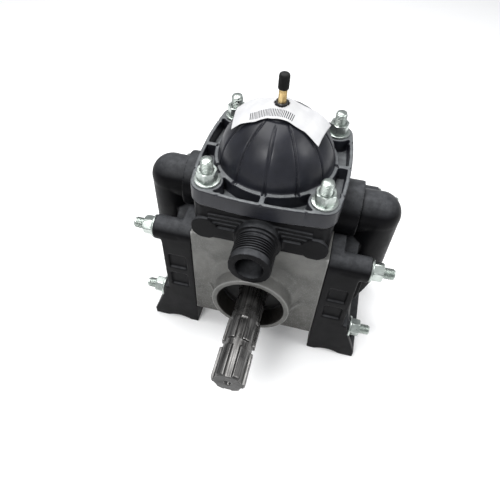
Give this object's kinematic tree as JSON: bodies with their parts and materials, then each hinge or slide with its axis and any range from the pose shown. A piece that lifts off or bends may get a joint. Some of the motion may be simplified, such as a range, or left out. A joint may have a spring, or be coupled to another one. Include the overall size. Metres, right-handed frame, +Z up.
{
  "type": "diaphragm pump",
  "caption": "Shaft-driven diaphragm pump with opposed side heads on integral feet, a top head with threaded ports and a domed air chamber.",
  "frame": {"origin": "centre of the foot bolt pattern on the underside of the feet", "axes": "-Y along the drive shaft towards its splined end, +Z up, +X towards the right head"},
  "size_m": [0.28, 0.295, 0.323],
  "materials": {
    "cast_aluminium": "matt as-cast",
    "piston_aluminium": "machined",
    "head_plastic": "matt moulded, glass filled",
    "dome_plastic": "satin moulded",
    "cap_plastic": "moulded",
    "zinc_plated_steel": "bright zinc plate",
    "stainless_steel": "satin",
    "blackened_steel": "blackened",
    "shaft_steel": "machined and oiled",
    "bearing_steel": "ground",
    "cast_iron": "honed",
    "brass": "turned",
    "rubber": "matt"
  },
  "bodies": {
    "pump_body": {"crankcase": "cast_aluminium", "rear_cover": "cast_aluminium", "rear_cover_gasket": "rubber", "rear_cover_bolts": "zinc_plated_steel", "oil_fill_plug": "blackened_steel", "oil_drain_plug": "blackened_steel", "cylinder_sleeves": "cast_iron", "bearing_outer_races": "bearing_steel", "shaft_seal": "rubber", "seal_circlip": "blackened_steel", "left_diaphragm": "rubber", "right_diaphragm": "rubber", "top_diaphragm": "rubber", "left_head": "head_plastic", "right_head": "head_plastic", "top_head": "head_plastic", "duct_seals": "rubber", "valve_cages": "head_plastic", "valve_springs": "stainless_steel", "air_chamber": "dome_plastic", "air_diaphragm": "rubber", "head_studs": "zinc_plated_steel", "head_nuts": "zinc_plated_steel", "head_washers": "zinc_plated_steel", "tyre_valve": "brass", "tyre_valve_nut": "brass"},
    "shaft": {"drive_shaft": "shaft_steel", "bearing_inner_races": "bearing_steel"},
    "eccentric_ring_body": {"eccentric_ring": "bearing_steel"},
    "eccentric_roller_set": {"eccentric_rollers": "bearing_steel"},
    "ball_sets": {"bearing_balls": "bearing_steel", "bearing_cages": "brass"},
    "left_piston_set": {"left_piston": "piston_aluminium", "left_rod": "blackened_steel", "left_pin": "bearing_steel", "left_disc": "stainless_steel", "left_disc_bolt": "stainless_steel"},
    "left_inlet_valve": {"left_inlet_plate": "stainless_steel"},
    "left_outlet_valve": {"left_outlet_plate": "stainless_steel"},
    "right_piston_set": {"right_piston": "piston_aluminium", "right_rod": "blackened_steel", "right_pin": "bearing_steel", "right_disc": "stainless_steel", "right_disc_bolt": "stainless_steel"},
    "right_inlet_valve": {"right_inlet_plate": "stainless_steel"},
    "right_outlet_valve": {"right_outlet_plate": "stainless_steel"},
    "top_piston_set": {"top_piston": "piston_aluminium", "top_rod": "blackened_steel", "top_pin": "bearing_steel", "top_disc": "stainless_steel", "top_disc_bolt": "stainless_steel"},
    "top_inlet_valve": {"top_inlet_plate": "stainless_steel"},
    "top_outlet_valve": {"top_outlet_plate": "stainless_steel"},
    "tyre_valve_core": {"tyre_valve_pin": "brass"},
    "valve_cap": {"tyre_valve_cap": "cap_plastic"}
  },
  "joints": [
    {"name": "shaft_turn", "type": "hinge", "parent": "pump_body", "child": "shaft", "pos_m": [0, 0, 0.102], "axis": [0, 1, 0], "continuous": true},
    {"name": "ball_sets_turn", "type": "hinge", "parent": "pump_body", "child": "ball_sets", "pos_m": [0, 0, 0.102], "axis": [0, 1, 0], "continuous": true},
    {"name": "eccentric_ring_turn", "type": "hinge", "parent": "shaft", "child": "eccentric_ring_body", "pos_m": [0, 0, 0.106], "axis": [0, 1, 0], "continuous": true},
    {"name": "eccentric_rollers_turn", "type": "hinge", "parent": "shaft", "child": "eccentric_roller_set", "pos_m": [0, 0, 0.106], "axis": [0, 1, 0], "continuous": true},
    {"name": "right_piston_stroke", "type": "slide", "parent": "pump_body", "child": "right_piston_set", "axis": [1, 0, 0], "range_m": [-0.004, 0.004], "deforming": ["right_diaphragm"]},
    {"name": "left_piston_stroke", "type": "slide", "parent": "pump_body", "child": "left_piston_set", "axis": [1, 0, 0], "range_m": [-0.004, 0.004], "deforming": ["left_diaphragm"]},
    {"name": "top_piston_stroke", "type": "slide", "parent": "pump_body", "child": "top_piston_set", "axis": [0, 0, 1], "range_m": [-0.008, 0], "deforming": ["top_diaphragm"]},
    {"name": "left_inlet_lift", "type": "slide", "parent": "pump_body", "child": "left_inlet_valve", "axis": [1, 0, 0], "range_m": [0, 0.003], "stiffness_N_per_m": 60, "springref_m": -0.006, "deforming": ["valve_springs"]},
    {"name": "left_outlet_lift", "type": "slide", "parent": "pump_body", "child": "left_outlet_valve", "axis": [-1, 0, 0], "range_m": [0, 0.003], "stiffness_N_per_m": 60, "springref_m": -0.006, "deforming": ["valve_springs"]},
    {"name": "right_inlet_lift", "type": "slide", "parent": "pump_body", "child": "right_inlet_valve", "axis": [-1, 0, 0], "range_m": [0, 0.003], "stiffness_N_per_m": 60, "springref_m": -0.006, "deforming": ["valve_springs"]},
    {"name": "right_outlet_lift", "type": "slide", "parent": "pump_body", "child": "right_outlet_valve", "axis": [1, 0, 0], "range_m": [0, 0.003], "stiffness_N_per_m": 60, "springref_m": -0.006, "deforming": ["valve_springs"]},
    {"name": "top_inlet_lift", "type": "slide", "parent": "pump_body", "child": "top_inlet_valve", "axis": [0, 0, -1], "range_m": [0, 0.003], "stiffness_N_per_m": 60, "springref_m": -0.006, "deforming": ["valve_springs"]},
    {"name": "top_outlet_lift", "type": "slide", "parent": "pump_body", "child": "top_outlet_valve", "axis": [0, 0, 1], "range_m": [0, 0.003], "stiffness_N_per_m": 60, "springref_m": -0.006, "deforming": ["valve_springs"]},
    {"name": "core_press", "type": "slide", "parent": "pump_body", "child": "tyre_valve_core", "axis": [0, 0, -1], "range_m": [0, 0.001], "stiffness_N_per_m": 60, "springref_m": -0.002},
    {"name": "cap_off", "type": "slide", "parent": "pump_body", "child": "valve_cap", "axis": [0, 0, 1], "range_m": [0, 0.02]}
  ],
  "couplings": [
    {"joint": "ball_sets_turn", "follows": "shaft_turn", "ratio": 0.398},
    {"joint": "eccentric_ring_turn", "follows": "shaft_turn", "ratio": -1},
    {"joint": "eccentric_rollers_turn", "follows": "shaft_turn", "ratio": -0.567},
    {"joint": "left_piston_stroke", "follows": "right_piston_stroke", "ratio": 1}
  ]
}
